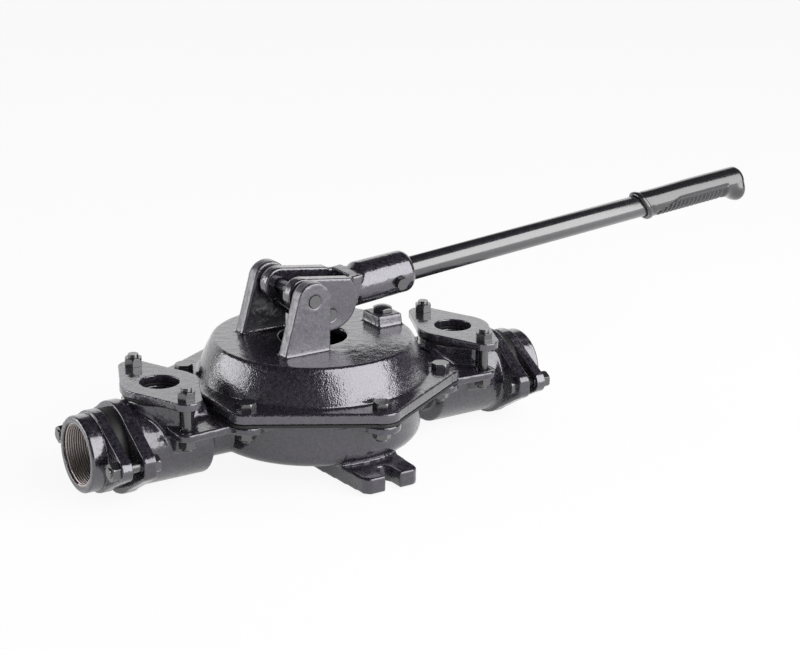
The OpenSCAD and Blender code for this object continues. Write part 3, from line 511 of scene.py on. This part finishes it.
# %% [markdown]
# ## Screw threads
# A thread is a ridge along a helix. One tree of Geometry Nodes draws it: a spiral curve, a small round profile swept
# along it, and a copy on every place that is marked by a point. Sweeping keeps the pitch exact and lets one tree serve
# the pipe thread in the ports and the thin threads on the ends of the studs.

# %% Thread tree
def thread_tree():
    """Spiral, profile, sweep, copies on points, one mesh, one finish."""
    tree = bpy.data.node_groups.new("screw_thread", "GeometryNodeTree")
    face = tree.interface
    face.new_socket("Places", in_out="INPUT", socket_type="NodeSocketGeometry")
    for name in ("Pitch", "Length", "Radius", "Ridge"):
        face.new_socket(name, in_out="INPUT", socket_type="NodeSocketFloat")
    face.new_socket("Steps", in_out="INPUT", socket_type="NodeSocketInt")
    face.new_socket("Finish", in_out="INPUT", socket_type="NodeSocketMaterial")
    face.new_socket("Thread", in_out="OUTPUT", socket_type="NodeSocketGeometry")
    given = add(tree, "NodeGroupInput").outputs
    turns = add(tree, "ShaderNodeMath", {0: given["Length"], 1: given["Pitch"]}, operation="DIVIDE")
    helix = add(tree, "GeometryNodeCurveSpiral", {
        "Resolution": given["Steps"], "Rotations": turns.outputs[0], "Start Radius": given["Radius"],
        "End Radius": given["Radius"], "Height": given["Length"]})
    ridge = add(tree, "GeometryNodeCurvePrimitiveCircle", {"Resolution": 6, "Radius": given["Ridge"]})
    sweep = add(tree, "GeometryNodeCurveToMesh", {
        "Curve": helix.outputs[0], "Profile Curve": ridge.outputs[0], "Fill Caps": True})
    turn = add(tree, "GeometryNodeInputNamedAttribute", {"Name": "turn"}, data_type="FLOAT_VECTOR")
    euler = add(tree, "FunctionNodeEulerToRotation", {"Euler": turn.outputs["Attribute"]})
    copies = add(tree, "GeometryNodeInstanceOnPoints", {
        "Points": given["Places"], "Instance": sweep.outputs[0], "Rotation": euler.outputs[0]})
    real = add(tree, "GeometryNodeRealizeInstances", {"Geometry": copies.outputs[0]})
    done = add(tree, "GeometryNodeSetMaterial", {"Geometry": real.outputs[0], "Material": given["Finish"]})
    add(tree, "NodeGroupOutput", {"Thread": done.outputs[0]})
    return tree


def grown(name, tree, start, values, body, frame_matrix=None):
    """Runs a tree of Geometry Nodes on a start mesh and hangs the plain mesh that it makes on a body."""
    piece = bpy.data.objects.new(name, start)
    scene.collection.objects.link(piece)
    modifier = piece.modifiers.new("grow", "NODES")
    modifier.node_group = tree
    sockets = {item.name: item.identifier for item in tree.interface.items_tree if item.in_out == "INPUT"}
    for socket, value in values.items():
        modifier[sockets[socket]] = value
    mesh = evaluated_mesh(piece)
    piece.modifiers.clear()
    if frame_matrix is not None:
        mesh.transform(frame_matrix)
    mesh.shade_smooth()
    piece.data = mesh
    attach(piece, body)
    print(name, len(mesh.polygons), "faces")
    return piece


def marks(name, places):
    """Points in mm with a turn each, for the copies of a tree."""
    mesh = bpy.data.meshes.new(name)
    mesh.from_pydata([[c * MM for c in point] for point, _ in places], [], [])
    turn = mesh.attributes.new("turn", "FLOAT_VECTOR", "POINT")
    turn.data.foreach_set("vector", [c for _, angles in places for c in angles])
    return mesh


QUARTER, HALF = math.pi / 2, math.pi
THREAD = thread_tree()
print("tree:", THREAD.name, len(THREAD.nodes), "nodes")

# %% Threads in the ports and on the studs
MOUTH, PORT_THREAD = 1.6, 23.5
PIPE_PITCH, PIPE_RIDGE, RIDGE_SUNK = 2.309, 1.05, 0.15
ports = marks("port_places", [
    ((-HUB_X + MOUTH, 0, AXIS), (0, QUARTER, 0)), ((HUB_X - MOUTH, 0, AXIS), (0, -QUARTER, 0))])
grown("port_threads", THREAD, ports, {
    "Pitch": PIPE_PITCH * MM, "Length": PORT_THREAD * MM, "Radius": (HUB_BORE + THREAD_DEPTH - RIDGE_SUNK) * MM,
    "Ridge": PIPE_RIDGE * MM, "Steps": 56, "Finish": bare_iron}, "base")

STUD_X, STUD_Y, STUD_TOP, STUD_LOW = 169.0, 55.2, 106.8, 50.7
BOLT_CIRCLE, STUD_R, STUD_THREAD, STUD_PITCH, STUD_RIDGE = 127.4, 5.0, 3.5 - 0.9, 1.5, 0.45
studs = []
for x in (-STUD_X, STUD_X):
    for y in (-STUD_Y, STUD_Y):
        studs.append(((x, y, STUD_TOP), (0, 0, 0)))
        studs.append(((x, y, STUD_LOW), (HALF, 0, 0)))
for corner in range(6):
    turn = math.radians(30 + 60 * corner)
    studs.append(((BOLT_CIRCLE * math.cos(turn), BOLT_CIRCLE * math.sin(turn), STUD_LOW), (HALF, 0, 0)))
grown("stud_threads", THREAD, marks("stud_places", studs), {
    "Pitch": STUD_PITCH * MM, "Length": STUD_THREAD * MM, "Radius": STUD_R * MM, "Ridge": STUD_RIDGE * MM,
    "Steps": 24, "Finish": enamel_steel}, "base")

# %% [markdown]
# ## The moulded grip
# The grip is a vinyl moulding: a thin collar, a smooth upper side, a sunk panel with slanting ribs for the fingers and
# a lip that keeps the hand from slipping off. A lathe would make it round all the way, so its rings are drawn one by
# one with a radius that depends on the direction. The ribs repeat, so Geometry Nodes lays them in a row.

# %% Grip body
GRIP_U, GRIP_L, TUBE_R = 439.5, 142.5, 12.2
COLLAR_L, COLLAR_R, COLLAR_EASE, COLLAR_LEAN = 6.0, 16.4, 1.6, 6.5
NECK_R, NECK_RISE, BODY_RISE, LIP, END_ROUND = 14.2, 0.6, 0.8, 7.0, 7.0
PANEL_DEPTH, GROOVE_DEPTH, PANEL_ANGLE, PANEL_CLIMB = 1.1, 0.9, 60, 46
# stretches along the grip in mm, in which each form comes in or goes out
SPAN = {"neck": (6, 12), "body": (20, 80), "lip": (119, 136), "climb": (12, 52), "panel_in": (11, 15),
        "panel_out": (112, 118), "straight": (6, 28)}
MOUTH_GAP, MOUTH_DEPTH = 0.4, 4.0
RINGS, SEGMENTS = 230, 72
grip_frame = lever_frame @ Matrix.Translation((GRIP_U * MM, 0, -LEVER_DROP * MM)) @ Matrix.Rotation(math.pi / 2, 4, "Y")


def ramp(value, start, stop):
    """Smooth step from 0 at start to 1 at stop."""
    share = min(max((value - start) / (stop - start), 0.0), 1.0)
    return share * share * (3 - 2 * share)


def grip_radius(along, angle):
    """Radius of the grip in mm at a distance from its collar, and whether that place lies in the panel."""
    if along < COLLAR_L:
        edge = min(along, COLLAR_L - along)
        return COLLAR_R - COLLAR_EASE * (1 - ramp(edge, 0, 1.4)), False
    body = NECK_R + NECK_RISE * ramp(along, *SPAN["neck"]) + BODY_RISE * ramp(along, *SPAN["body"])
    down = math.cos(angle)
    body += LIP * ramp(along, *SPAN["lip"]) * ramp(down, -0.1, 1.0)
    panel_top = PANEL_ANGLE + PANEL_CLIMB * ramp(along, *SPAN["climb"])
    below_top = panel_top - abs(math.degrees(angle))
    in_length = ramp(along, *SPAN["panel_in"]) * (1 - ramp(along, *SPAN["panel_out"]))
    panel = in_length * ramp(below_top, 0, 5)
    groove = in_length * ramp(below_top, 1, 5) * (1 - ramp(below_top, 9, 13))  # degrees below the panel's upper edge
    body -= PANEL_DEPTH * panel + GROOVE_DEPTH * groove
    left = GRIP_L - along
    if left < END_ROUND:
        body -= END_ROUND - math.sqrt(max(END_ROUND ** 2 - (END_ROUND - left) ** 2, 0.0))
    return body, panel > 0.5


def grip_slant(along, angle):
    """Shift of the grip's rings along the lever in mm: the collar leans back at its top."""
    return COLLAR_LEAN * math.cos(angle) * (1 - ramp(along, *SPAN["straight"]))


points, faces, in_panel = [], [], []
for ring in range(RINGS + 1):
    along = GRIP_L * ring / RINGS
    for segment in range(SEGMENTS):
        angle = 2 * math.pi * segment / SEGMENTS
        signed = angle if angle <= math.pi else angle - 2 * math.pi
        radius, panel = grip_radius(along, signed)
        place = along + grip_slant(along, angle)
        points.append((radius * MM * math.cos(angle), radius * MM * math.sin(angle), place * MM))
        in_panel.append(panel)
for ring in range(RINGS):
    for segment in range(SEGMENTS):
        here, beside = ring * SEGMENTS + segment, ring * SEGMENTS + (segment + 1) % SEGMENTS
        faces.append((here, beside, beside + SEGMENTS, here + SEGMENTS))
inner = len(points)
for radius, along in ((TUBE_R + MOUTH_GAP, 0.0), (TUBE_R + MOUTH_GAP, MOUTH_DEPTH)):
    for segment in range(SEGMENTS):
        angle = 2 * math.pi * segment / SEGMENTS
        place = along + grip_slant(along, angle)
        points.append((radius * MM * math.cos(angle), radius * MM * math.sin(angle), place * MM))
for segment in range(SEGMENTS):
    after = (segment + 1) % SEGMENTS
    faces.append((after, segment, inner + segment, inner + after))
    faces.append((inner + after, inner + segment, inner + SEGMENTS + segment, inner + SEGMENTS + after))
faces.append(tuple(RINGS * SEGMENTS + segment for segment in range(SEGMENTS)))
grip_mesh = bpy.data.meshes.new("lever_grip_moulding")
grip_mesh.from_pydata(points, [], faces)
grip_mesh.transform(grip_frame)
grip_mesh.shade_smooth()
dressed("lever_grip_moulding", "lever_grip", grip_mesh, (vinyl, vinyl_matt))
for face in grip_mesh.polygons:
    face.material_index = 1 if all(v < len(in_panel) and in_panel[v] for v in face.vertices) else 0
print("grip:", len(grip_mesh.polygons), "faces")


# %% Grip ribs
def rib_tree():
    """An arc swept by a round profile, copied along a line of points."""
    tree = bpy.data.node_groups.new("grip_rib_row", "GeometryNodeTree")
    face = tree.interface
    face.new_socket("Start", in_out="INPUT", socket_type="NodeSocketGeometry")
    face.new_socket("Count", in_out="INPUT", socket_type="NodeSocketInt")
    for name in ("Pitch", "From", "Radius", "Rib", "Sweep", "Slant"):
        face.new_socket(name, in_out="INPUT", socket_type="NodeSocketFloat")
    face.new_socket("Finish", in_out="INPUT", socket_type="NodeSocketMaterial")
    face.new_socket("Ribs", in_out="OUTPUT", socket_type="NodeSocketGeometry")
    given = add(tree, "NodeGroupInput").outputs
    half = add(tree, "ShaderNodeMath", {0: given["Sweep"], 1: -0.5}, operation="MULTIPLY")
    arc = add(tree, "GeometryNodeCurveArc", {
        "Resolution": 30, "Radius": given["Radius"], "Start Angle": half.outputs[0], "Sweep Angle": given["Sweep"]})
    edge = add(tree, "GeometryNodeCurvePrimitiveCircle", {"Resolution": 8, "Radius": given["Rib"]})
    rib = add(tree, "GeometryNodeCurveToMesh", {
        "Curve": arc.outputs[0], "Profile Curve": edge.outputs[0], "Fill Caps": True})
    start = add(tree, "ShaderNodeCombineXYZ", {"Z": given["From"]})
    step = add(tree, "ShaderNodeCombineXYZ", {"Z": given["Pitch"]})
    row = add(tree, "GeometryNodeMeshLine", {
        "Count": given["Count"], "Start Location": start.outputs[0], "Offset": step.outputs[0]})
    lean = add(tree, "ShaderNodeCombineXYZ", {"Y": given["Slant"]})
    euler = add(tree, "FunctionNodeEulerToRotation", {"Euler": lean.outputs[0]})
    copies = add(tree, "GeometryNodeInstanceOnPoints", {
        "Points": row.outputs[0], "Instance": rib.outputs[0], "Rotation": euler.outputs[0]})
    real = add(tree, "GeometryNodeRealizeInstances", {"Geometry": copies.outputs[0]})
    done = add(tree, "GeometryNodeSetMaterial", {"Geometry": real.outputs[0], "Material": given["Finish"]})
    add(tree, "NodeGroupOutput", {"Ribs": done.outputs[0]})
    return tree


grown("grip_ribs", rib_tree(), bpy.data.meshes.new("rib_start"), {
    "Count": 15, "Pitch": 5.9 * MM, "From": 25 * MM, "Radius": 13.4 * MM, "Rib": 1.8 * MM, "Sweep": math.radians(180),
    "Slant": math.radians(10), "Finish": vinyl}, "lever", grip_frame)
